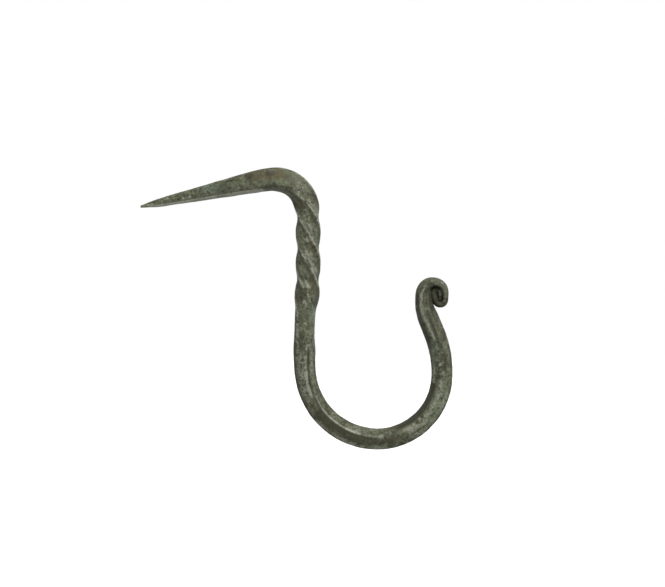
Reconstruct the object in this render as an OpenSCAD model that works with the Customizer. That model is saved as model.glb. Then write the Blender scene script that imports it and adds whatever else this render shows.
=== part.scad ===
// Wall hook forged from one square bar: a spike that drives into the wall, a
// bend down into a twisted neck, a plain shank, a round open hook for a cup,
// and a thin curl rolled at the end.
// Millimetres. The root of the spike is at the origin and its point lies
// toward -X. The hook reaches out along +X, and +Z is up.

/* [Bar] */
// Side of the square bar, where it is twisted
bar_size = 6.25; // [5:0.05:7.5]
// Side of the bar in the bend over the spike
bend_size = 6.35; // [5.5:0.05:7.5]
// Side of the bar in the plain shank
shank_size = 5.95; // [4.5:0.05:7]
// Side of the bar round the hook
hook_size = 5.5; // [4.5:0.05:6.5]
// Depth worn off each corner of the bar
corner_wear = 0.75; // [0.3:0.05:1.1]
// Width of the flat worn on each corner of the bar
corner_flat = 0.6; // [0.2:0.05:1]

/* [Spike] */
// Length of the spike from its root to its point
spike_length = 33; // [20:0.5:50]
// Droop of the spike's point below level, in degrees
spike_droop = 12.3; // [0:0.1:25]
// Side of the spike at its root
spike_root = 6.4; // [4.5:0.05:7]
// Length of the blunt nib at the point
nib_length = 4.6; // [3:0.1:8]
// Side of the spike where the nib begins
nib_size = 2.4; // [1.2:0.05:3]
// Side of the spike at its very end
point_size = 0.8; // [0.4:0.05:1.2]

/* [Neck and shank] */
// Radius of the bar's middle line in the bend over the spike
bend_radius = 8.9; // [7:0.1:14]
// Length of the straight neck under the bend
neck_length = 19.8; // [12:0.1:40]
// Lean of the bar back toward the wall under the neck, in degrees
neck_lean = 5.7; // [0:0.1:12]
// Length of the leaning stretch
lean_length = 8.6; // [2:0.1:15]
// Length of the straight shank above the hook
shank_length = 12.2; // [8:0.1:30]
// Length over which each bend eases in and out
bend_ease = 9; // [6:0.1:12]

/* [Twist] */
// Turns of the left-hand twist
twist_turns = 1; // [0:0.25:3]
// Length of bar that is twisted
twist_length = 32.7; // [20:0.1:45]
// Distance along the bar from the spike's root to the start of the twist
twist_start = 16; // [12:0.1:20]
// Roll that the bar takes on in the bend, before the twist, in degrees
bend_roll = 24; // [0:1:45]
// Length over which the twist eases in and out
twist_ease = 5; // [1:0.1:10]

/* [Hook] */
// Radius of the bar's middle line at the back of the hook
back_radius = 20.7; // [16:0.1:35]
// Radius of the bar's middle line at the front of the hook
front_radius = 18.4; // [14:0.1:35]
// Radius of the bar's middle line in the rising arm
arm_radius = 32.4; // [20:0.1:60]
// Lean of the arm back over the hook, in degrees
arm_lean = 28; // [15:0.5:40]
// Radius of the bend that straightens the arm under the curl
shoulder_radius = 17; // [10:0.1:25]
// Roll of the bar round the hook, which turns one corner to the front
hook_roll = 33; // [0:1:45]

/* [Curl] */
// Thickness of the bar where the curl begins
curl_thickness = 4.2; // [3:0.05:4.5]
// Thickness of the bar at the top of the curl
crown_thickness = 2.5; // [1.8:0.05:3]
// Thickness of the bar down the outer side of the curl
side_thickness = 1.55; // [1.2:0.05:2.2]
// Thickness of the bar where it tucks under and in
tuck_thickness = 1.4; // [1:0.05:2]
// Length over which the bar is drawn down to the curl
draw_length = 7; // [5:0.1:12]
// Straight length down the outer side of the curl
side_length = 2.1; // [1:0.1:3.5]
// Width of the eye, which the end of the bar turns down into
eye_width = 1.5; // [1.4:0.05:2]
// Gap between the tucked bar and the arm beside it
curl_gap = 0.2; // [0.1:0.05:0.6]
// Gap between the inner turn and the curl round it
inner_gap = 0.15; // [0.1:0.05:0.25]
// Width of the bar, across the curl, at its top
crown_width = 5.6; // [4:0.1:7]
// Width of the bar, across the curl, at its end in the eye
end_width = 2; // [1.2:0.1:4]
// Set of the end toward the back
end_set = 1.3; // [0:0.05:1.6]
// Length over which the curl's bends ease in and out
curl_ease = 1.8; // [1:0.1:3]

/* [Facets] */
// Largest distance between two rings of points
ring_step = 1.6; // [1.1:0.1:3]
// Largest turn or twist between two rings, in degrees
ring_turn = 9; // [7:1:20]

/* [Hidden] */
quarter = 90;
half_turn = 180;
full_turn = 360;
blur_samples = 13;      // samples that an eased value is averaged over
hop_samples = 4;        // headings that one step along the bar is summed from
face_points = 5;        // points across each face of a ring
end_rings = 6;          // rings that round off the bar's tucked end

// length of an arc of the bar's middle line
function arc_length(radius, turn) = radius * abs(turn) * PI / half_turn;
function mix(a, b, share) = a * (1 - share) + b * share;
function mean(list) = list * [for (value = list) 1] / len(list);

// half the bar's width across its worn corners, for a bar of side 2, and across
// the ends of a worn corner's flat
corner_reach = 1 - sqrt(2) * corner_wear / bar_size;
corner_half = corner_flat / sqrt(2) / bar_size;
corner_bulge = sqrt(2) * corner_reach;

// The curl is sized from the inside out. The tuck spans the eye, and the crown
// spans the tuck and lies against the arm beside it. The inner turn fills the
// hollow under the crown, and the end turns down into the eye.
arm_roundness = 0.2;
curl_roundness = 0.6;
crown_roundness = 0.7;
tuck_span = tuck_thickness / 2 + eye_width + side_thickness / 2;
tuck_outer = tuck_span / 2 + tuck_thickness / 2;
// how far below the crown the tuck comes nearest the arm, and the arm's size there.
// The shoulder's inner side and the tuck's outer side are one circle in another.
beside_drop = side_length * shoulder_radius / (shoulder_radius - tuck_outer);
beside_thickness = mix(curl_thickness, hook_size, beside_drop / draw_length)
    * mix(corner_bulge, 1, curl_roundness);
tuck_reach = shoulder_radius - sqrt(
    pow(shoulder_radius - beside_thickness / 2 - curl_gap - tuck_outer, 2)
    - side_length * side_length);
crown_span = tuck_reach + tuck_span / 2;
hollow_left = curl_thickness / 2 * mix(corner_bulge, 1, crown_roundness);
hollow_right = crown_span - side_thickness / 2;
inner_thickness = (hollow_right - hollow_left - 3 * inner_gap) / 2;
inner_span = inner_thickness + inner_gap;
end_thickness = eye_width - 2 * inner_gap;

// radius of a half turn that is eased over a window, from the span between its legs
function span_radius(span, window) = (span + sqrt(span * span - window * window * 2 / 3)) / 4;
end_ease = 0.6;
tuck_radius = span_radius(tuck_span, curl_ease);
crown_radius = span_radius(crown_span, curl_ease);
inner_radius = span_radius(inner_span, end_ease);

// The inner turn rises until it meets the crown above it or to its right. Each
// "outer" is the distance from a turn's centre to its outer side.
inner_outer = inner_span / 2 + inner_thickness / 2;
inner_offset = (hollow_left + hollow_right - crown_span) / 2;
corner_share = arc_length(crown_radius, quarter / 2)
    / (arc_length(crown_radius, quarter) + side_length / 2);
corner_thickness = mix(crown_thickness, side_thickness, corner_share);
inner_height = min(
    crown_radius - crown_thickness / 2 - inner_gap - inner_outer,
    sqrt(2) * (crown_radius - corner_thickness / 2 - inner_outer) - inner_offset);
rise_length = side_length + inner_height;
end_length = rise_length + tuck_radius - tuck_thickness / 2 - inner_gap;
rise_sway = crown_span - tuck_span - hollow_left - inner_gap - inner_thickness / 2;
end_sway = inner_gap + inner_thickness / 2 - eye_width / 2;
// turn at the middle of a stretch that sways it to one side and back
function sway_turn(sway, length) = 2 * sway / length * half_turn / PI;

// Stretches of the bar's middle line from the root on, as [length, turn].
// A turn to the left, seen from the front, is positive.
lean_knee = 2;
back = 7;
crown = 11;
side = 12;
rise = 14;
inner_turn = 16;
stretches = [
    [bend_ease / 2, 0],
    [arc_length(bend_radius, quarter + spike_droop), -quarter - spike_droop],
    [neck_length, 0],
    [lean_knee, -neck_lean],
    [lean_length, 0],
    [lean_knee, neck_lean],
    [shank_length, 0],
    [arc_length(back_radius, quarter), quarter],
    [arc_length(front_radius, quarter), quarter],
    [arc_length(arm_radius, arm_lean), arm_lean],
    [arc_length(shoulder_radius, arm_lean), -arm_lean],
    [arc_length(crown_radius, half_turn), -half_turn],
    [side_length, 0],
    [arc_length(tuck_radius, half_turn), -half_turn],
    [rise_length / 2, sway_turn(rise_sway, rise_length)],
    [rise_length / 2, -sway_turn(rise_sway, rise_length)],
    [arc_length(inner_radius, half_turn), -half_turn],
    [end_length / 2, sway_turn(end_sway, end_length)],
    [end_length / 2, -sway_turn(end_sway, end_length)]
];
// where each stretch ends, as [distance from the root, heading]
ends = [for (i = 0, at = [0, spike_droop]; i <= len(stretches);
    at = at + (i < len(stretches) ? stretches[i] : [0, 0]), i = i + 1) at];
function start_of(stretch) = ends[stretch][0];
function middle_of(stretch) = start_of(stretch) + stretches[stretch][0] / 2;
shank_end = start_of(back);
curl_start = start_of(crown);
bar_end = start_of(len(stretches));
dome_start = bar_end - end_thickness / 2;

// a looked-up value, averaged over a window so that it eases past its stations
function eased(at, stations, window) =
    mean([for (i = [0 : blur_samples - 1])
        lookup(at + window * (i / (blur_samples - 1) - 0.5), stations)]);

// direction of the bar's middle line, in degrees above +X
function bend_window(at) = lookup(at, [
    [curl_start - bend_ease, bend_ease],
    [curl_start, curl_ease],
    [start_of(rise), curl_ease],
    [start_of(inner_turn), end_ease]]);
function heading(at) = eased(at, ends, bend_window(at));

// turn of the section about the middle line
twist_end = twist_start + twist_length;
hook_roll_start = max(shank_end - bend_ease, twist_end);
roll_stations = [
    [0, 0],
    [bend_ease, bend_roll],
    [twist_start, bend_roll],
    [twist_end, full_turn * twist_turns],
    [hook_roll_start, full_turn * twist_turns],
    [hook_roll_start + twist_ease, full_turn * twist_turns - hook_roll]
];
function roll(at) = eased(at, roll_stations, twist_ease);

// side of the bar in the plane of the hook, and across it
size_stations = [
    [-spike_length, point_size],
    [nib_length - spike_length, nib_size],
    [0, spike_root],
    [bend_ease / 2, bend_size],
    [twist_start, bend_size],
    [twist_start + twist_ease, bar_size],
    [twist_end - twist_ease, bar_size],
    [twist_end, shank_size],
    [shank_end - bend_ease, shank_size],
    [shank_end, hook_size],
    [curl_start - draw_length, hook_size],
    [curl_start, curl_thickness],
    [middle_of(crown), crown_thickness],
    [middle_of(side), side_thickness],
    [start_of(rise), tuck_thickness],
    [start_of(inner_turn), inner_thickness],
    [middle_of(inner_turn), inner_thickness],
    [dome_start, end_thickness],
    [bar_end, end_thickness]
];
width_stations = concat(
    [for (station = size_stations) if (station[0] < curl_start) station],
    [[middle_of(crown), crown_width], [bar_end, end_width]]);
size_ease = 1.5;
dome_depth = 0.9;       // how far the dome over the end closes, of a full dome
function size_ease_at(at) = min(size_ease, at + spike_length, bar_end - at);
function end_round(at) = at < dome_start ? 1
    : sqrt(1 - dome_depth * pow((at - dome_start) / (bar_end - dome_start), 2));
function thickness(at) = end_round(at) * eased(at, size_stations, size_ease_at(at));
function width(at) = end_round(at) * eased(at, width_stations, size_ease_at(at));
function set_back(at) =
    eased(at, [[start_of(rise), 0], [bar_end, end_set]], size_ease_at(at));

// share by which the section is rounded off, from square bar to rod
roundness_stations = [
    [shank_end - bend_ease, 0],
    [shank_end, arm_roundness],
    [curl_start - draw_length, arm_roundness],
    [curl_start - side_length, curl_roundness],
    [curl_start, crown_roundness],
    [middle_of(side), 1]
];
function roundness(at) = lookup(at, roundness_stations);

// One quarter of the section, for a bar of side 2: a crowned face and the
// middle of the worn corner that follows it.
square_quarter = concat(
    [for (i = [0 : face_points - 1]) let (across = 2 * i / (face_points - 1) - 1)
        [mix(1, corner_reach + corner_half, across * across),
            across * (corner_reach - corner_half)]],
    [[corner_reach, corner_reach]]);
quarter_points = len(square_quarter);
round_quarter = [for (i = [0 : quarter_points - 1])
    let (angle = quarter * (i - (face_points - 1) / 2) / quarter_points)
        [cos(angle), sin(angle)]];

function turned(point, angle) = [
    point[0] * cos(angle) - point[1] * sin(angle),
    point[0] * sin(angle) + point[1] * cos(angle)];

function section(roundness, angle) = [for (k = [0 : 3]) for (i = [0 : quarter_points - 1])
    turned(mix(square_quarter[i], round_quarter[i], roundness), angle + quarter * k)];

// rings stand closer where the bar turns or twists faster
probe = 0.2;
function turn_rate(at) =
    (abs(heading(at + probe) - heading(at)) + abs(roll(at + probe) - roll(at))) / probe;
function step_from(at) = at < dome_start
    ? min(ring_step, thickness(at), ring_turn / max(turn_rate(at), probe))
    : (bar_end - dome_start) / end_rings;
rings = [for (at = -spike_length; at < bar_end - probe / 2; at = at + step_from(at)) at,
    bar_end];
last_ring = len(rings) - 1;

// the middle line at each ring, summed step by step from the spike's point
function direction(angle) = [cos(angle), 0, sin(angle)];
function hop(from, to) = (to - from) / hop_samples
    * [for (i = [0 : hop_samples - 1]) 1]
    * [for (i = [0 : hop_samples - 1])
        direction(heading(from + (to - from) * (i + 0.5) / hop_samples))];
middle = [for (i = 0, at = -spike_length * direction(spike_droop); i <= last_ring;
    at = at + (i < last_ring ? hop(rings[i], rings[i + 1]) : [0, 0, 0]), i = i + 1) at];

function ring(i) = let (at = rings[i], across = direction(heading(at) + quarter))
    [for (point = section(roundness(at), roll(at)))
        middle[i] + across * point[0] * thickness(at) / 2
        + [0, 1, 0] * (point[1] * width(at) / 2 + set_back(at))];

ring_points = 4 * quarter_points;
bar_points = [for (i = [0 : last_ring]) each ring(i)];
side_faces = [for (i = [0 : last_ring - 1]) for (j = [0 : ring_points - 1])
    let (a = i * ring_points + j, b = i * ring_points + (j + 1) % ring_points)
        each [[a, b, b + ring_points], [a, b + ring_points, a + ring_points]]];
end_faces = [
    [for (j = [ring_points - 1 : -1 : 0]) j],
    [for (j = [0 : ring_points - 1]) last_ring * ring_points + j]
];

module hook() {
    color("#5e6052")
    polyhedron(points = bar_points, faces = concat(side_faces, end_faces), convexity = 8);
}

hook();
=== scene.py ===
import math

import bpy
import numpy as np
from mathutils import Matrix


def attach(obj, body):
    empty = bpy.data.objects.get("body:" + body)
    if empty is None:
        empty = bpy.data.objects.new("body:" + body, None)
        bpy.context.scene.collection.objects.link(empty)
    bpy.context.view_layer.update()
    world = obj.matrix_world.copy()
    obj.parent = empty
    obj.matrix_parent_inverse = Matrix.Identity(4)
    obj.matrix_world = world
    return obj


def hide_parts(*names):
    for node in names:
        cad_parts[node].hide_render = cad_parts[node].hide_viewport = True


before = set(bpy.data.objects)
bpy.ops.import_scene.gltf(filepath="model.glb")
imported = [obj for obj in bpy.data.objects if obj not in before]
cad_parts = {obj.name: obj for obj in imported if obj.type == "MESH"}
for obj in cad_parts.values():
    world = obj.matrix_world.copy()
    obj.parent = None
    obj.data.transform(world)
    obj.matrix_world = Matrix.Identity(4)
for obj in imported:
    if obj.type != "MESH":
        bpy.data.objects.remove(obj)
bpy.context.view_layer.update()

# The forged bar, in millimetres and degrees, with the same sizes as the solid.
# It runs along one bent middle line from the spike's point to the curl's end.
bar = {
    "side": 6.25, "bendSide": 6.35, "shankSide": 5.95, "hookSide": 5.5,
    "cornerWear": 0.75, "cornerFlat": 0.6,
    "spikeLength": 33, "spikeDroop": 12.3, "spikeRoot": 6.4,
    "nibLength": 4.6, "nibSide": 2.4, "pointSide": 0.8,
    "bendRadius": 8.9, "neckLength": 19.8, "neckLean": 5.7, "leanLength": 8.6, "leanKnee": 2,
    "shankLength": 12.2, "bendEase": 9,
    "twistTurns": 1, "twistLength": 32.7, "twistStart": 16, "bendRoll": 24, "twistEase": 5,
    "backRadius": 20.7, "frontRadius": 18.4, "armRadius": 32.4, "armLean": 28,
    "shoulderRadius": 17, "hookRoll": 33,
    "curlThickness": 4.2, "crownThickness": 2.5, "sideThickness": 1.55, "tuckThickness": 1.4,
    "drawLength": 7, "sideLength": 2.1, "eyeWidth": 1.5, "curlGap": 0.2, "innerGap": 0.15,
    "crownWidth": 5.6, "endWidth": 2, "endSet": 1.3, "curlEase": 1.8, "endEase": 0.6,
    "armRoundness": 0.2, "curlRoundness": 0.6, "crownRoundness": 0.7, "sizeEase": 1.5,
    "scaleFill": 0.35,      # forge scale that closes the slits inside the curl
    "ringStep": 0.32,       # largest distance between two rings of points
    "ringTurn": 3.2,        # largest turn or twist between two rings
    "domeRings": 22,        # rings to a millimetre in the rounded end
    "domeFall": 0.97,       # how far the rounded end closes
    "pointsRound": 120,     # points round each ring
    "cornerSoftness": 1.2,  # how far the edges of the worn corners are smoothed, in points
}


def arcLength(radius, turn):
    return radius * math.radians(abs(turn))


def mix(a, b, share):
    return a * (1 - share) + b * share


def at(places, stations):
    return np.interp(places, *np.array(stations, float).T)


# a looked-up value, averaged over a window so that it eases past its stations
def eased(places, stations, window, samples=25):
    spread = np.linspace(-0.5, 0.5, samples)[:, None] * window
    return at(places[None] + spread, stations).mean(axis=0)


# radius of an eased half turn, from the span between its two legs
def spanRadius(span, window):
    return (span + math.sqrt(span * span - window * window * 2 / 3)) / 4


# Sizes of the curl, from the inside out: the tuck spans the eye, and the crown spans the tuck.
def curlSizes(b):
    reach = 1 - math.sqrt(2) * b["cornerWear"] / b["side"]
    bulge = math.sqrt(2) * reach        # how far a worn corner stands out, against a face
    gap = b["innerGap"]
    tuckSpan = b["tuckThickness"] / 2 + b["eyeWidth"] + b["sideThickness"] / 2
    tuckOuter = tuckSpan / 2 + b["tuckThickness"] / 2
    besideDrop = b["sideLength"] * b["shoulderRadius"] / (b["shoulderRadius"] - tuckOuter)
    beside = mix(b["curlThickness"], b["hookSide"], besideDrop / b["drawLength"])
    beside *= mix(bulge, 1, b["curlRoundness"])
    tuckReach = b["shoulderRadius"] - math.sqrt(
        (b["shoulderRadius"] - beside / 2 - b["curlGap"] - tuckOuter) ** 2 - b["sideLength"] ** 2)
    crownSpan = tuckReach + tuckSpan / 2
    hollowLeft = b["curlThickness"] / 2 * mix(bulge, 1, b["crownRoundness"])
    hollowRight = crownSpan - b["sideThickness"] / 2
    innerThickness = (hollowRight - hollowLeft - 3 * gap) / 2
    innerSpan = innerThickness + gap
    endThickness = b["eyeWidth"] - 2 * gap
    tuckRadius = spanRadius(tuckSpan, b["curlEase"])
    crownRadius = spanRadius(crownSpan, b["curlEase"])
    innerRadius = spanRadius(innerSpan, b["endEase"])
    innerOuter = innerSpan / 2 + innerThickness / 2
    innerOffset = (hollowLeft + hollowRight - crownSpan) / 2
    cornerShare = arcLength(crownRadius, 45) / (arcLength(crownRadius, 90) + b["sideLength"] / 2)
    cornerThickness = mix(b["crownThickness"], b["sideThickness"], cornerShare)
    innerHeight = min(
        crownRadius - b["crownThickness"] / 2 - gap - innerOuter,
        math.sqrt(2) * (crownRadius - cornerThickness / 2 - innerOuter) - innerOffset)
    rise = b["sideLength"] + innerHeight
    endLength = rise + tuckRadius - b["tuckThickness"] / 2 - gap
    riseSway = crownSpan - tuckSpan - hollowLeft - gap - innerThickness / 2
    endSway = gap + innerThickness / 2 - b["eyeWidth"] / 2
    return {
        "crownRadius": crownRadius, "tuckRadius": tuckRadius, "innerRadius": innerRadius,
        "innerThickness": innerThickness, "endThickness": endThickness,
        "rise": rise, "riseTurn": math.degrees(2 * riseSway / rise),
        "endLength": endLength, "endTurn": math.degrees(2 * endSway / endLength),
    }


# every stretch of the middle line, from the spike's root on: its length and its turn
def barStretches(b, curl):
    return [
        ("lead", b["bendEase"] / 2, 0),
        ("bend", arcLength(b["bendRadius"], 90 + b["spikeDroop"]), -90 - b["spikeDroop"]),
        ("neck", b["neckLength"], 0),
        ("upperKnee", b["leanKnee"], -b["neckLean"]),
        ("lean", b["leanLength"], 0),
        ("lowerKnee", b["leanKnee"], b["neckLean"]),
        ("shank", b["shankLength"], 0),
        ("back", arcLength(b["backRadius"], 90), 90),
        ("front", arcLength(b["frontRadius"], 90), 90),
        ("arm", arcLength(b["armRadius"], b["armLean"]), b["armLean"]),
        ("shoulder", arcLength(b["shoulderRadius"], b["armLean"]), -b["armLean"]),
        ("crown", arcLength(curl["crownRadius"], 180), -180),
        ("side", b["sideLength"], 0),
        ("tuck", arcLength(curl["tuckRadius"], 180), -180),
        ("riseOut", curl["rise"] / 2, curl["riseTurn"]),
        ("riseBack", curl["rise"] / 2, -curl["riseTurn"]),
        ("inner", arcLength(curl["innerRadius"], 180), -180),
        ("endOut", curl["endLength"] / 2, curl["endTurn"]),
        ("endBack", curl["endLength"] / 2, -curl["endTurn"]),
    ]


# Where each stretch starts and what the bar is there: [distance along the bar, value].
def barStations(b):
    curl = curlSizes(b)
    place, heading = 0.0, b["spikeDroop"]
    ends, start, middle = [(place, heading)], {}, {}
    for name, length, turn in barStretches(b, curl):
        start[name], middle[name] = place, place + length / 2
        place, heading = place + length, heading + turn
        ends.append((place, heading))
    barEnd = place
    shankEnd, curlStart = start["back"], start["crown"]
    domeStart = barEnd - curl["endThickness"] / 2
    twistEnd = b["twistStart"] + b["twistLength"]
    fullTwist = 360 * b["twistTurns"]
    rollDown = max(shankEnd - b["bendEase"], twistEnd)
    size = [
        (-b["spikeLength"], b["pointSide"]), (b["nibLength"] - b["spikeLength"], b["nibSide"]),
        (0, b["spikeRoot"]), (b["bendEase"] / 2, b["bendSide"]), (b["twistStart"], b["bendSide"]),
        (b["twistStart"] + b["twistEase"], b["side"]), (twistEnd - b["twistEase"], b["side"]),
        (twistEnd, b["shankSide"]), (shankEnd - b["bendEase"], b["shankSide"]),
        (shankEnd, b["hookSide"]), (curlStart - b["drawLength"], b["hookSide"]),
        (curlStart, b["curlThickness"]), (middle["crown"], b["crownThickness"]),
        (middle["side"], b["sideThickness"]), (start["riseOut"], b["tuckThickness"]),
        (start["inner"], curl["innerThickness"]), (middle["inner"], curl["innerThickness"]),
        (domeStart, curl["endThickness"]), (barEnd, curl["endThickness"])]
    width = [pair for pair in size if pair[0] < curlStart]
    width += [(middle["crown"], b["crownWidth"]), (barEnd, b["endWidth"])]
    fill = b["scaleFill"]
    return {
        "ends": ends, "start": start, "middle": middle,
        "curlStart": curlStart, "domeStart": domeStart, "barEnd": barEnd,
        "window": [(curlStart - b["bendEase"], b["bendEase"]), (curlStart, b["curlEase"]),
                   (start["riseOut"], b["curlEase"]), (start["inner"], b["endEase"])],
        "roll": [(0, 0), (b["bendEase"], b["bendRoll"]), (b["twistStart"], b["bendRoll"]),
                 (twistEnd, fullTwist), (rollDown, fullTwist),
                 (rollDown + b["twistEase"], fullTwist - b["hookRoll"])],
        "size": size, "width": width,
        "setBack": [(start["riseOut"], 0), (barEnd, b["endSet"])],
        "roundness": [(shankEnd - b["bendEase"], 0), (shankEnd, b["armRoundness"]),
                      (curlStart - b["drawLength"], b["armRoundness"]),
                      (curlStart - b["sideLength"], b["curlRoundness"]),
                      (curlStart, b["crownRoundness"]), (middle["side"], 1)],
        "outerFill": [(middle["tuck"], 0), (start["riseOut"], fill), (start["inner"], 1.6 * fill),
                      (start["endOut"], 1.6 * fill), (barEnd, fill)],
        "innerFill": [(curlStart - 5, 0), (curlStart - 1, fill / 2), (middle["crown"], fill / 2),
                      (middle["side"], 0), (middle["tuck"], fill / 3), (barEnd, fill / 2)],
    }


# distances of the rings along the bar, closer where the bar turns or twists faster
def ringPlaces(b, st, step=0.05):
    fine = np.arange(-b["spikeLength"], st["barEnd"], step)
    turn = np.abs(np.gradient(eased(fine, st["ends"], at(fine, st["window"])), fine))
    turn += np.abs(np.gradient(eased(fine, st["roll"], b["twistEase"]), fine))
    perMm = np.maximum(1 / b["ringStep"], turn / b["ringTurn"])
    perMm[fine > st["domeStart"]] = b["domeRings"]
    count = np.concatenate([[0], np.cumsum((perMm[1:] + perMm[:-1]) / 2 * np.diff(fine))])
    places = np.interp(np.linspace(0, count[-1], int(count[-1]) + 1), count, fine)
    places[-1] = st["barEnd"]
    return places


# the bar's section for a bar of side 2: crowned faces and worn corners
def squareSection(b, facePoints=41, softReach=6):
    reach = 1 - math.sqrt(2) * b["cornerWear"] / b["side"]
    flat = b["cornerFlat"] / math.sqrt(2) / b["side"]
    across = np.linspace(-1, 1, facePoints)
    face = np.stack([mix(1, reach + flat, across ** 2), across * (reach - flat)], axis=1)
    turns = [np.array([[math.cos(t), -math.sin(t)], [math.sin(t), math.cos(t)]])
             for t in np.radians([0, 90, 180, 270])]
    loop = np.concatenate([face @ turn.T for turn in turns])
    loop = np.concatenate([loop, loop[:1]])
    length = np.concatenate([[0], np.cumsum(np.linalg.norm(np.diff(loop, axis=0), axis=1))])
    even = np.linspace(0, length[-1], b["pointsRound"], endpoint=False)
    loop = np.stack([np.interp(even, length, loop[:, k]) for k in (0, 1)], axis=1)
    shifts = np.arange(-softReach, softReach + 1)
    share = np.exp(-0.5 * (shifts / b["cornerSoftness"]) ** 2)
    soft = sum(s * np.roll(loop, k, axis=0) for s, k in zip(share / share.sum(), shifts))
    return soft, np.arctan2(soft[:, 1], soft[:, 0])


# the middle line at each ring, in x and z, and its heading there
def middleLine(b, st, places, step=0.01):
    fine = np.arange(-b["spikeLength"], st["barEnd"] + step, step)
    turned = np.radians(eased(fine, st["ends"], at(fine, st["window"])))
    steps = np.stack([np.cos(turned), np.sin(turned)], axis=1)
    path = np.concatenate([[[0, 0]], np.cumsum((steps[1:] + steps[:-1]) / 2 * step, axis=0)])
    droop = math.radians(b["spikeDroop"])
    path -= b["spikeLength"] * np.array([math.cos(droop), math.sin(droop)])
    middle = np.stack([np.interp(places, fine, path[:, k]) for k in (0, 1)], axis=1)
    return middle, np.radians(eased(places, st["ends"], at(places, st["window"])))


# rings of points of the smooth bar, with the distance along it and the angle round it
def smoothBar(b, st):
    places = ringPlaces(b, st)
    middle, heading = middleLine(b, st, places)
    roll = np.radians(eased(places, st["roll"], b["twistEase"]))
    ease = np.minimum(np.minimum(b["sizeEase"], places + b["spikeLength"]), st["barEnd"] - places)
    past = np.clip((places - st["domeStart"]) / (st["barEnd"] - st["domeStart"]), 0, 1)
    dome = np.sqrt(1 - b["domeFall"] * past ** 2)
    thick = dome * eased(places, st["size"], ease)
    wide = dome * eased(places, st["width"], ease)
    roundness = at(places, st["roundness"])
    square, angles = squareSection(b)
    circle = np.stack([np.cos(angles), np.sin(angles)], axis=1)
    section = mix(square[None], circle[None], roundness[:, None, None])
    c, s = np.cos(roll)[:, None], np.sin(roll)[:, None]
    inPlane = section[..., 0] * c - section[..., 1] * s
    across = (section[..., 0] * s + section[..., 1] * c) * wide[:, None] / 2
    across += eased(places, st["setBack"], ease)[:, None]
    fill = np.where(inPlane > 0, (dome * at(places, st["outerFill"]))[:, None],
                    (dome * at(places, st["innerFill"]))[:, None])
    inPlane = inPlane * (thick[:, None] / 2 + fill)
    grid = np.stack([middle[:, None, 0] - np.sin(heading)[:, None] * inPlane, across,
                     middle[:, None, 1] + np.cos(heading)[:, None] * inPlane], axis=2)
    return grid, places, angles, roundness


def gridNormals(grid):
    alongBar = np.gradient(grid, axis=0)
    roundBar = np.roll(grid, -1, axis=1) - np.roll(grid, 1, axis=1)
    out = np.cross(alongBar, roundBar)
    return out / np.maximum(np.linalg.norm(out, axis=2, keepdims=True), 1e-9)


stations = barStations(bar)
smooth, places, angles, roundness = smoothBar(bar, stations)
normals = gridNormals(smooth)
print("bar:", smooth.shape[0], "rings of", smooth.shape[1], "points")

# The hammered and rusted skin, in millimetres. All of it goes inward from the smooth bar.
skin = {
    "leastDepth": 0.01,
    "hammerWave": 6.5, "hammerDepth": 0.07,
    "scaleWave": 2.1, "scaleDepth": 0.04,
    "pitWave": 0.95, "pitDepth": 0.1,
    "pitFrom": 0.9, "pitTo": 2.3,       # height of the pits' waves at a pit's rim and bottom
    "pitPatch": 9,          # the pits come in patches of about this length
    "curlShare": 0.3,       # share of the skin's depth that is left in the thin curl
    "hollowScale": 0.45,    # share of the scale in the mark that tells the hollows
    "seed": 7,
}


# smooth seeded unevenness: many plane waves of about one length, spread 1 about 0
def waveField(points, waveLength, seed, waves=48):
    rng = np.random.default_rng(seed)
    heading = rng.normal(size=(waves, 3))
    heading /= np.linalg.norm(heading, axis=1)[:, None]
    rate = 2 * math.pi / (waveLength * rng.uniform(0.75, 1.4, waves))
    phase = rng.uniform(0, 2 * math.pi, waves)
    field = sum(np.cos(points @ (heading[k] * rate[k]) + phase[k]) for k in range(waves))
    return field / math.sqrt(waves / 2)


def between(low, high, values):
    share = np.clip((values - low) / (high - low), 0, 1)
    return share * share * (3 - 2 * share)


# depth of the skin at every point, and how hammered, scaled and pitted it is, from 0 to 1
def forgedSkin(s, st, grid, places):
    hammered = between(-1.6, 1.6, waveField(grid, s["hammerWave"], s["seed"]))
    scaled = between(-1.6, 1.6, waveField(grid, s["scaleWave"], s["seed"] + 1))
    pits = between(s["pitFrom"], s["pitTo"], waveField(grid, s["pitWave"], s["seed"] + 2))
    pits *= between(-1.2, 0.8, waveField(grid, s["pitPatch"], s["seed"] + 3))
    share = at(places, [(st["curlStart"], 1), (st["middle"]["side"], s["curlShare"])])[:, None]
    depth = hammered * s["hammerDepth"] + scaled * s["scaleDepth"] + pits * s["pitDepth"]
    return s["leastDepth"] + depth * share, hammered, scaled, pits


depth, hammered, scaled, pits = forgedSkin(skin, stations, smooth, places)
grid = smooth - normals * depth[..., None]
print(f"skin: depth {depth.mean():.3f} mm on average, {depth.max():.3f} mm at most")

# How strongly each worn corner is rubbed bright, by the distance along the bar.
wear = {
    "upperFront": [(-33, 0.1), (0, 0.1), (12, 0.7), (18, 1.1), (40, 1), (44, 0.5), (48, 0.2),
                   (66, 0.2), (95, 0.15), (150, 0.2), (160, 0.3)],
    "lowerFront": [(-33, 0.6), (0, 0.6), (6, 0.1), (16, 0.5), (22, 0.9), (48, 0.8),
                   (56, 0.3), (80, 0.2), (170, 0.2)],
    "lowerBack": [(-33, 0.4), (16, 0.8), (48, 0.8), (56, 0.4), (170, 0.3)],
    "upperBack": [(-33, 0.4), (16, 0.8), (48, 0.8), (56, 0.4), (170, 0.3)],
    "width": 0.1,           # reach of the rubbing from a corner's middle, of a quarter turn
    "shadeAway": 0.2, "shadeWidth": 0.08,     # the band of painted shade beside each rubbed corner
    "roundLoss": 0.75,      # how much less a rounded section is rubbed
}

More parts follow.
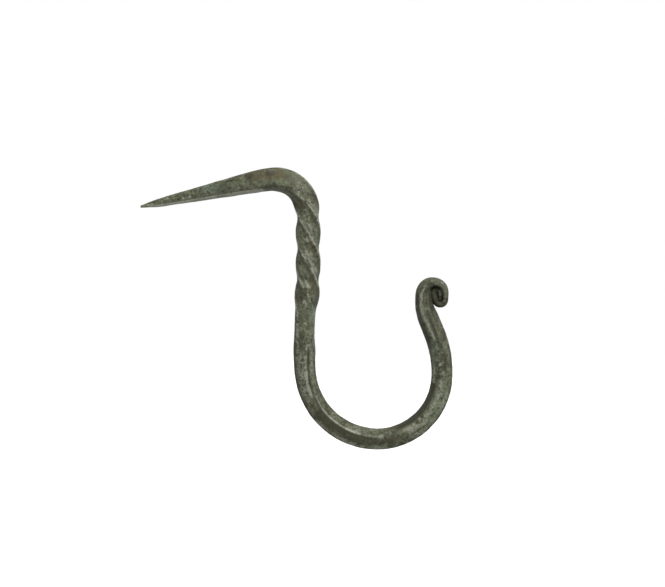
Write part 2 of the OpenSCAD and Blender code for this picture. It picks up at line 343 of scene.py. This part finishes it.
# Streaks and patches on the front, each a soft line between two spots of the bar:
# [along, across, along, across, half width, strength]. Across is to the left of the way
# from the point to the curl, so it is up on the spike and inward in the bowl.
streaks = {
    # partly rubbed wear, partly painted highlight: ridge lines, glints on the crown, and lighter
    # faces that are turned from the lamp
    "pale": [
        # spike
        [-33, 0, -29, -0.2, 0.6, 0.7], [-30, -0.9, -14, -1.75, 0.65, 1.5],
        [-25, 0.7, -24.8, 0.9, 0.3, 0.8], [-20.5, -0.2, -20.4, -0.4, 0.3, 1.2],
        [-18.7, -0.2, -18.5, -0.4, 0.3, 1.2], [-14, -1.75, 2, -2.85, 0.65, 1.4],
        [-4.6, 0.3, -4, -1.8, 0.3, 0.6], [-3, -1.6, -2.5, -2, 0.3, 0.7],
        # bend
        [1.5, -1.5, 1.8, -1.2, 0.3, 0.6], [13.5, 1.6, 15.5, 0.5, 0.5, 0.5],
        [14.3, -0.3, 15, -0.5, 0.4, 0.6],
        # twist
        [17.8, 0.9, 22, 2.9, 0.45, 0.8], [18, 1, 21, 2.6, 0.4, 0.6],
        [19.5, -0.2, 20.5, 0, 0.5, 0.6], [22, -2.3, 24.5, 0.2, 0.35, 0.4],
        [24, -1.8, 26, -2, 0.7, 0.4], [24.5, 0.3, 31.5, 3, 0.4, 0.6],
        [28.2, -0.4, 29, -0.2, 0.7, 1.2], [31.5, -0.6, 33, -0.4, 0.6, 0.8],
        [32.5, 0.9, 33.5, 1.4, 0.6, 0.7], [34.3, 0.2, 37.6, 2.2, 0.5, 1.3],
        [41, -0.3, 42.5, 0.3, 0.6, 1], [45.5, 0.6, 46.6, 0.4, 0.5, 1.1],
        [45.8, -0.4, 46.8, -0.8, 0.5, 1.3], [46.8, -0.1, 47.8, 0.1, 0.6, 1.4],
        # shank
        [49, -2.1, 61, -2.1, 0.5, 0.55], [49, 2.7, 59, 2.6, 0.25, 0.5],
        [51.6, -0.1, 52.5, 0.3, 0.6, 0.8], [59, 0.8, 60, 0.5, 0.4, 0.7], [59, 2, 67, 2, 0.7, 0.7],
        # bowl
        [62, -1.2, 74, -1.4, 0.8, 0.6], [62, 0.3, 73, 0.1, 0.6, 1.2],
        [64, -0.4, 66, -0.5, 0.6, 0.9], [74, 1.2, 80, 1, 0.35, 0.8], [80, -2.5, 99, -2.5, 0.6, 0.8],
        [80, 1, 92, 1.1, 0.35, 1.1], [84, 2.4, 97, 2.3, 0.6, 0.35], [90, 1.6, 93.5, 1.9, 0.5, 0.6],
        [92, 1.1, 97, 1, 0.4, 0.5], [98.2, 1, 98.5, 0.5, 0.5, 0.9], [106, 0.9, 113, 0.3, 0.9, 0.55],
        [107, -1.8, 111, -2, 1, 0.8], [107.5, -0.3, 112, -0.5, 1, 1],
        [109, 1.2, 108, -0.5, 0.4, 0.8], [111, -1.9, 121, -2.2, 0.9, 0.75],
        [111.5, 1.3, 112.5, -0.2, 0.5, 1], [114, 0.3, 115, -0.3, 0.4, 0.9],
        [116, 0.3, 120, 0, 0.7, 0.7], [121, -0.2, 125, 0.4, 0.6, 0.8],
        [124, 2.3, 134, 2.3, 0.5, 0.8],
        # arm and shoulder
        [127, -0.5, 127.5, 0.5, 0.3, 0.6], [129, 1, 130, 0.3, 0.3, 0.6],
        [134, -1.5, 146, -1.9, 0.5, 0.25], [137, 0.9, 147, 1.3, 0.5, 0.95],
        [147, 1.3, 151.5, 0.3, 0.55, 1.1], [147, 2.2, 147.1, 2.2, 0.25, 1.2],
        # curl
        [154.8, 0.5, 155.8, -0.3, 0.3, 0.6], [156, -0.6, 163, -0.6, 0.5, 1.1],
        [157.5, 0.5, 157.7, 0.3, 0.3, 1], [171.6, 0, 172.6, 0, 0.5, 1],
    ],
    # mostly painted shade: dark lines along edges, the hollow beside the curl, the lower lip and
    # faces turned from the lamp, with a few dark spots
    "dark": [
        # spike
        [-26, -0.6, -10, -1.4, 0.18, 0.9], [-10, -1.4, 5, -2.4, 0.18, 0.8],
        [-6.5, -0.3, -6.8, -2, 0.15, 0.9],
        # bend
        [4.5, 1.7, 5.5, 1.6, 0.7, 0.9],
        # twist
        [26, 3.1, 30, 3, 0.4, 0.5], [34, 3, 38, 3.1, 0.4, 0.5], [34.6, -0.2, 36.4, 0.6, 0.5, 1],
        [39, -0.8, 40, -0.4, 0.4, 0.6], [43, 2.9, 46, 2.6, 0.4, 0.5],
        # shank
        [50, -2.8, 80, -2.7, 0.25, 0.6], [55.4, -1, 57, -0.8, 0.7, 0.6],
        [60, 1.2, 66, 1.1, 0.3, 0.8],
        # bowl
        [66, 1.1, 78, 0.7, 0.3, 1.1], [78, 0.4, 97, 0.3, 0.4, 0.7], [95, -1.3, 99, -1, 0.5, 0.5],
        [105, 2.5, 123, 2.4, 0.9, 0.85],
        # arm and shoulder
        [127.5, -0.9, 132, -1, 0.4, 0.7], [129, -2.8, 134, -2.7, 0.3, 0.6],
        [132, 2.5, 137, 2.6, 0.5, 0.5], [136, -0.1, 145, -0.3, 0.5, 1],
        [137, 2.6, 146, 2.3, 0.6, 0.9], [145, -2, 149, -2, 0.6, 1], [146, 2.2, 150, 1.9, 0.55, 1],
        [146.5, -2.2, 151, -2, 0.7, 0.9],
        # curl
        [150, 2, 156, 1.8, 0.4, 0.6], [150.8, -1, 154, -1.7, 0.8, 0.6],
        [155, -2, 160, -1.8, 0.9, 0.9], [158.5, 1, 163, 0.8, 0.3, 0.9],
        [164.4, 0.3, 166.4, 0.5, 0.8, 1.2],
    ],
    # dark olive-brown patches; the long one on the bowl's lower outer face is painted shade on the
    # side turned from the lamp
    "soilAndShade": [
        # spike
        [-27, 0.3, -15, 0.2, 0.9, 1], [-9, 0.8, -5, 1, 1, 0.6], [-1, 1.5, 9, 1.2, 1.2, 0.9],
        # bend
        [7, 0.2, 15, 0.6, 1.3, 0.5],
        # bowl
        [79, -0.8, 101, -0.8, 1.2, 0.9], [104, 2.4, 124, 2.4, 0.7, 1],
        # arm and shoulder
        [136, -1.4, 146, -1.7, 0.5, 0.6],
        # curl
        [150, 0.5, 158, 0.3, 1.4, 0.6],
    ],
    "brown": [
        # bend
        [1, 1.2, 2.2, 1.4, 1.1, 1.5], [3.4, 1.4, 7, 1.3, 1.4, 1.5], [8, -0.3, 9, -0.3, 0.7, 0.6],
        # twist
        [16.5, -1.8, 19, -1.6, 0.8, 0.8], [24.5, -1.4, 26, -1.4, 0.8, 0.8],
        [29.8, 0.9, 31.3, 1.1, 0.8, 1.5], [39.5, 1.2, 42.5, 1.3, 0.7, 1],
        # shank
        [50, -1.7, 51, -1.8, 0.6, 0.7],
        # bowl
        [88.3, 0, 88.6, -0.4, 0.4, 1], [102, -0.3, 103.5, -0.5, 0.6, 0.6],
        # arm and shoulder
        [138, -0.2, 143, -0.2, 0.4, 0.7], [148, 2.3, 150, 2.1, 0.4, 0.7],
    ],
    "green": [
        # spike
        [-27, 0.6, -16, 0.6, 0.8, 0.4], [-8, 0.8, -3, 1, 1.2, 0.6],
        # twist
        [28, 3, 31.5, 3.1, 0.3, 1], [34, 3, 38, 3, 0.5, 1],
        # bowl
        [64, 2, 70, 2.2, 0.7, 0.4], [95, -2, 100, -2, 1, 0.7], [105, -2, 112, -2, 0.8, 0.6],
        [111, -1.2, 121, -1.8, 1.5, 1.5], [119, -2.3, 121, -2.2, 0.5, 0.8],
    ],
    "blue": [
        # spike
        [-14, 0.9, -10.7, 0.6, 1.1, 1.2],
        # twist
        [39, -0.6, 40.5, -0.5, 0.5, 0.8], [45, -0.8, 47, -0.6, 0.6, 0.6],
        # shank
        [52, -2.2, 60, -2.3, 0.5, 0.5],
        # arm and shoulder
        [129, 1.5, 137, 0.9, 0.6, 1],
        # curl
        [152, 0, 154, -1, 0.6, 0.6],
    ],
}

# Flecks of the same kinds, most of them on the sides and the back.
flecks = {
    "waves": {"brown": 5, "green": 7, "blue": 8, "soilAndShade": 9, "pale": 4, "dark": 5},
    "from": 1, "to": 2.1,   # height of the waves at a fleck's rim and middle
    "strength": 0.9,
    "frontLoss": 0.6,       # how much weaker they are on the front
    "seed": 21,
}


# how rubbed every point is, and how much painted shade it gets in the band beside a rubbed corner
def cornerRub(w, angles, places, roundness):
    names = ["upperBack", "lowerBack", "lowerFront", "upperFront"]
    rub = np.zeros((len(places), len(angles)))
    paintedShade = rub.copy()
    for k, name in enumerate(names):
        middle = math.radians(45 + 90 * k)
        off = np.abs((angles - middle + math.pi) % (2 * math.pi) - math.pi) / (math.pi / 2)
        near = np.exp(-(off / w["width"]) ** 2)
        beside = np.exp(-((off - w["shadeAway"]) / w["shadeWidth"]) ** 2)
        strength = at(places, w[name])[:, None]
        rub += near[None] * strength
        paintedShade += beside[None] * strength
    square = 1 - w["roundLoss"] * roundness[:, None]
    return rub * square, paintedShade * square


# every point's distance along the bar, and to the left of its middle line
def barCoordinates(smooth, places):
    along = np.repeat(places[:, None], smooth.shape[1], axis=1)
    centre = smooth.mean(axis=1, keepdims=True)
    ahead = np.gradient(centre, axis=0)
    leftward = np.cross(ahead, [0, 1, 0]) / np.linalg.norm(ahead, axis=2, keepdims=True)
    return along, ((smooth - centre) * leftward).sum(axis=2)


# strength of the streaks at every point
def streakMask(lines, along, across):
    mask = np.zeros(along.shape)
    for a, b, c, d, half, strength in lines:
        reach = (c - a) ** 2 + (d - b) ** 2
        share = np.clip(((along - a) * (c - a) + (across - b) * (d - b)) / reach, 0, 1)
        away = (along - mix(a, c, share)) ** 2 + (across - mix(b, d, share)) ** 2
        mask = np.maximum(mask, strength * np.exp(-away / half ** 2))
    return mask


# all that the material needs to know of the skin, as one number for each point
def skinMarks(st):
    along, across = barCoordinates(smooth, places)
    front = between(0.7, 0.1, normals[..., 1])
    marks = {name: streakMask(lines, along, across) * front for name, lines in streaks.items()}
    for k, (name, wave) in enumerate(flecks["waves"].items()):
        share = between(flecks["from"], flecks["to"], waveField(grid, wave, flecks["seed"] + k))
        share *= (1 - flecks["frontLoss"] * front) * flecks["strength"]
        marks[name] = np.maximum(marks[name], share)
    marks["rub"], marks["paintedShade"] = cornerRub(wear, angles, places, roundness)
    # painted shade inside the curl, from the tuck to the inner turn, weaker towards the end
    marks["curlShade"] = at(along, [(st["middle"]["tuck"], 0), (st["start"]["riseOut"], 0.8),
                               (st["middle"]["inner"], 0.8), (st["start"]["endOut"], 0.2)])
    marks["pit"] = pits
    marks["hollow"] = mix(hammered, scaled, skin["hollowScale"])
    return marks


marks = skinMarks(stations)
print("marks:", ", ".join(marks))


# one closed mesh of the rings, with an end face at each end and the marks on its points
def barMesh(name, grid, marks):
    rings, points = grid.shape[:2]
    i, j = np.meshgrid(np.arange(rings - 1), np.arange(points), indexing="ij")
    a = i * points + j
    b = i * points + (j + 1) % points
    faces = np.stack([a, b, b + points, a + points], axis=-1).reshape(-1, 4).tolist()
    faces.append(list(range(points - 1, -1, -1)))
    faces.append(list(range((rings - 1) * points, rings * points)))
    mesh = bpy.data.meshes.new(name)
    mesh.from_pydata((grid.reshape(-1, 3) * 0.001).tolist(), [], faces)     # in metres
    for mark, values in marks.items():
        mesh.attributes.new(mark, "FLOAT", "POINT").data.foreach_set(
            "value", values.reshape(-1).astype(np.float32))
    mesh.polygons.foreach_set("use_smooth", [True] * len(mesh.polygons))
    mesh.update()
    piece = bpy.data.objects.new(name, mesh)
    bpy.context.scene.collection.objects.link(piece)
    return piece


hook = barMesh("forgedHook", grid, marks)
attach(hook, "root")
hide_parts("hook")
print("hook:", len(hook.data.polygons), "faces")


# One socket of a material's nodes, with the maths on it written as plain expressions.
class Wire:
    def __init__(self, tree, socket=None):
        self.tree = tree
        self.socket = socket

    # any node: its type, what is set on it first, then the values or links of its sockets
    def node(self, kind, settings=None, values=None, out=0):
        made = self.tree.nodes.new(kind)
        for name, value in (settings or {}).items():
            setattr(made, name, value)
        for name, value in (values or {}).items():
            if isinstance(value, Wire):
                self.tree.links.new(value.socket, made.inputs[name])
            else:
                made.inputs[name].default_value = value
        return Wire(self.tree, made.outputs[out])

    def math(self, operation, *values):
        return self.node("ShaderNodeMath", {"operation": operation}, dict(enumerate(values)))

    def __add__(self, other):
        return self.math("ADD", self, other)

    def __mul__(self, other):
        return self.math("MULTIPLY", self, other)

    def __sub__(self, other):
        return self.math("SUBTRACT", self, other)

    def __rsub__(self, other):
        return self.math("SUBTRACT", other, self)

    __radd__ = __add__
    __rmul__ = __mul__

    def most(self, other):
        return self.math("MAXIMUM", self, other)

    def smooth(self, low, high):
        return self.node("ShaderNodeMapRange", {"interpolation_type": "SMOOTHSTEP"},
                         {"Value": self, "From Min": low, "From Max": high})

    # this wire's value is the share of the second colour
    def colours(self, first, second):
        return self.node("ShaderNodeMix", {"data_type": "RGBA"},
                         {0: self, 6: first, 7: second}, out=2)

    # unevenness of one size, in millimetres of the object itself
    def noise(self, size, detail, roughness, distortion):
        place = self.node("ShaderNodeTexCoord", out=3)
        return self.node("ShaderNodeTexNoise", None, {
            "Vector": place, "Scale": 1000 / size, "Detail": detail,
            "Roughness": roughness, "Distortion": distortion})

    def mark(self, name):
        return self.node("ShaderNodeAttribute", {"attribute_name": name}, out=2)

    def into(self, shader, name):
        self.tree.links.new(self.socket, shader.inputs[name])


# Colours are linear and sizes are millimetres.
iron = {
    "dark": (0.040, 0.040, 0.024, 1),
    "olive": (0.126, 0.133, 0.088, 1),
    "dust": (0.195, 0.204, 0.155, 1),
    # dark olive-brown, for soil patches and for painted shade on the bowl's lower outer face
    "soilAndShade": (0.058, 0.057, 0.032, 1),
    "brown": (0.080, 0.066, 0.034, 1),
    "green": (0.150, 0.192, 0.112, 1),
    "blue": (0.125, 0.168, 0.126, 1),
    "bright": (0.225, 0.230, 0.183, 1),
    # the colour of painted shade beside the corners, along the dark streaks and inside the curl,
    # and of the dirt in the pits
    "shadeAndGrime": (0.022, 0.022, 0.015, 1),
    # kinds of unevenness: size, detail, roughness and distortion
    "noises": {"cloud": (5, 2, 0.5, 0.4), "mottle": (2, 3, 0.6, 0.6),
               "speck": (0.7, 3, 0.6, 0.3), "grain": (0.35, 2, 0.5, 0)},
    "toneMix": {"cloud": 0.25, "mottle": 0.38, "speck": 0.37},
    "toneFrom": 0.38, "toneTo": 0.62,       # the mix at the dark and at the olive tone
    "dustMix": {"speck": 0.5, "mottle": 0.2, "grain": 0.3},
    "dustFrom": 0.51, "dustTo": 0.64,       # the mix at no dust and at full dust
    "dustShare": 0.72, "hollowLoss": 0.6,   # how well dust covers, and how much less in hollows
    "edgeMix": {"mottle": 1.3, "speck": 1.2, "grain": 0.4},     # breaks up the edge of every mark
    "edgeFrom": 0.1, "edgeTo": 0.9,         # a broken mark at its rim and where it covers fully
    "patches": {"soilAndShade": 0.9, "brown": 0.85, "green": 0.8, "blue": 0.8},     # how well each covers
    "patchGain": 1.1, "paleTo": 0.95, "paleShare": 0.85,
    # the rubbed mask also takes in the pale streaks, so it carries painted highlight as well as
    # wear
    "rubGain": 1.1, "rubShift": 0.15, "rubbedFrom": 0.2, "rubbedTo": 0.8,
    "paleRub": 0.6,         # how much a pale streak counts as rubbed
    # painted shade: the band beside each corner, and the dark streaks
    "shadeGain": 0.6, "darkGain": 1.2, "shadeShare": 0.7,
    "pitDirt": 0.75, "dirtFrom": 0.1, "dirtTo": 0.7,
    "dirtAndShadeRubbedOff": 0.6,   # how much of the pit dirt and of the painted shade in the curl is gone where the corners are rubbed and the pale streaks lie
    "roughness": 0.64, "rubbedGloss": 0.18, "speckRoughness": 0.3, "dirtRoughness": 0.1,
    "metallic": 0.15, "specular": 0.13,
    "bumpMix": {"speck": 0.6, "grain": 0.3, "mottle": 0.6}, "bumpHeight": 0.05,
}


# a sum of the named noises, each by its share
def blend(noises, shares):
    first, *others = [noises[name] * share for name, share in shares.items()]
    return sum(others, first)


def ironMaterial(m):
    material = bpy.data.materials.new("forgedIron")
    material.use_nodes = True
    shader = material.node_tree.nodes["Principled BSDF"]
    wire = Wire(material.node_tree)
    noises = {name: wire.noise(*sizes) for name, sizes in m["noises"].items()}
    speck = noises["speck"]
    uneven = blend(noises, m["edgeMix"]) - sum(m["edgeMix"].values()) / 2   # spreads about 0

    # bare scale, with dust on its high places
    tone = blend(noises, m["toneMix"]).smooth(m["toneFrom"], m["toneTo"])
    dust = blend(noises, m["dustMix"]).smooth(m["dustFrom"], m["dustTo"])
    dust = dust * (1 - wire.mark("hollow") * m["hollowLoss"]) * m["dustShare"]
    colour = dust.colours(tone.colours(m["dark"], m["olive"]), m["dust"])

    # patches of other colours
    for name, cover in m["patches"].items():
        patch = (wire.mark(name) * m["patchGain"] + uneven).smooth(m["edgeFrom"], m["edgeTo"])
        colour = (patch * cover).colours(colour, tone.colours(m["dark"], m[name]))

    # pale streaks, partly wear and partly painted highlight, and rubbed corners, which lighten the
    # colour as one mask
    pale = wire.mark("pale")
    streak = (pale + uneven).smooth(m["edgeFrom"], m["paleTo"]) * m["paleShare"]
    colour = streak.colours(colour, tone.colours(m["olive"], m["bright"]))
    wearAndHighlight = wire.mark("rub").most(pale * m["paleRub"]) * m["rubGain"] + uneven - m["rubShift"]
    wearAndHighlight = wearAndHighlight.smooth(m["rubbedFrom"], m["rubbedTo"])
    colour = wearAndHighlight.colours(colour, m["bright"])

    # painted shade beside the corners and along the dark streaks, then dirt in the pits and painted
    # shade inside the curl
    paintedShade = (wire.mark("paintedShade") * m["shadeGain"]).most(wire.mark("dark") * m["darkGain"])
    paintedShade = (paintedShade + uneven).smooth(m["edgeFrom"], m["edgeTo"]) * m["shadeShare"]
    colour = paintedShade.colours(colour, m["shadeAndGrime"])
    dirtAndShade = (wire.mark("pit") * m["pitDirt"] + (0.5 - speck)).smooth(m["dirtFrom"], m["dirtTo"])
    dirtAndShade = dirtAndShade.most(wire.mark("curlShade")) * (1 - wearAndHighlight * m["dirtAndShadeRubbedOff"])
    dirtAndShade.colours(colour, m["shadeAndGrime"]).into(shader, "Base Color")

    roughness = m["roughness"] - wearAndHighlight * m["rubbedGloss"] + (speck - 0.5) * m["speckRoughness"]
    (roughness + dirtAndShade * m["dirtRoughness"]).into(shader, "Roughness")
    wire.node("ShaderNodeBump", None, {
        "Strength": 1.0, "Distance": m["bumpHeight"] * 0.001,
        "Height": blend(noises, m["bumpMix"])}).into(shader, "Normal")
    shader.inputs["Metallic"].default_value = m["metallic"]
    shader.inputs["Specular IOR Level"].default_value = m["specular"]
    return material


hook.data.materials.append(ironMaterial(iron))
print("material: forgedIron")

# Studio: a white tent, one soft lamp up to the right in front, and a pale floor.
studio = {
    "fill": 0.81,           # light of the tent on the object
    "lampPower": 9.8, "lampSize": 0.35, "lampDistance": 1,
    "lampFrom": (0.25, -0.65, 0.7),
    "target": (0.02, 0, -0.035),
    "floorHeight": -0.25, "floorReach": 6,
    "floorRoughness": 0.9, "floorSpecular": 0.1,
    "floorGlow": 0.6,       # only for the camera and for gloss, so the floor stays pale
    "floorColour": (0.88, 0.88, 0.87, 1),
    "floorBounce": (0.42, 0.42, 0.42, 1),   # the floor's colour for the light that it throws back
    "cameraPlace": (0.022607, -0.5278, -0.031797), "lens": 100, "sensor": 36,
    "nearest": 0.01,        # closest distance that the camera sees
}


# 1 where a ray is of one of the kinds, and 0 elsewhere
def seenBy(wire, *kinds):
    outputs = {"camera": 0, "gloss": 3, "glass": 6}
    rays = [wire.node("ShaderNodeLightPath", out=outputs[kind]) for kind in kinds]
    seen = rays[0]
    for ray in rays[1:]:
        seen = seen.most(ray)
    return seen


def whiteTent(s):
    world = bpy.data.worlds.new("tent")
    bpy.context.scene.world = world
    world.use_nodes = True
    background = world.node_tree.nodes["Background"]
    background.inputs["Color"].default_value = (1, 1, 1, 1)
    seen = seenBy(Wire(world.node_tree), "camera", "gloss", "glass")
    (seen * (1 - s["fill"]) + s["fill"]).into(background, "Strength")


def softLamp(s):
    light = bpy.data.lights.new("softLamp", "AREA")
    light.shape = "DISK"
    light.size = s["lampSize"]
    light.energy = s["lampPower"]
    lamp = bpy.data.objects.new("softLamp", light)
    bpy.context.scene.collection.objects.link(lamp)
    away = np.array(s["lampFrom"]) / np.linalg.norm(s["lampFrom"])
    lamp.location = np.array(s["target"]) + away * s["lampDistance"]
    flat = math.hypot(away[0], away[1])
    lamp.rotation_euler = (math.atan2(flat, away[2]), 0, math.atan2(away[0], -away[1]))


def paleFloor(s):
    corners = [(-1, -1), (1, -1), (1, 1), (-1, 1)]
    mesh = bpy.data.meshes.new("floor")
    mesh.from_pydata([(x * s["floorReach"], y * s["floorReach"], s["floorHeight"])
                      for x, y in corners], [], [(0, 1, 2, 3)])
    floor = bpy.data.objects.new("floor", mesh)
    bpy.context.scene.collection.objects.link(floor)
    material = bpy.data.materials.new("paleFloor")
    material.use_nodes = True
    shader = material.node_tree.nodes["Principled BSDF"]
    shader.inputs["Roughness"].default_value = s["floorRoughness"]
    shader.inputs["Specular IOR Level"].default_value = s["floorSpecular"]
    shader.inputs["Emission Color"].default_value = (1, 1, 1, 1)
    wire = Wire(material.node_tree)
    (seenBy(wire, "camera", "gloss") * s["floorGlow"]).into(shader, "Emission Strength")
    paint = seenBy(wire, "camera").colours(s["floorBounce"], s["floorColour"])
    paint.into(shader, "Base Color")
    mesh.materials.append(material)


def straightCamera(s):
    lens = bpy.data.cameras.new("camera")
    lens.lens = s["lens"]
    lens.sensor_width = s["sensor"]
    lens.clip_start = s["nearest"]
    camera = bpy.data.objects.new("camera", lens)
    bpy.context.scene.collection.objects.link(camera)
    camera.location = s["cameraPlace"]
    camera.rotation_euler = (math.radians(90), 0, 0)
    bpy.context.scene.camera = camera


whiteTent(studio)
softLamp(studio)
paleFloor(studio)
straightCamera(studio)
bpy.context.scene.view_settings.view_transform = "Standard"
print("studio: tent, lamp, floor and camera")
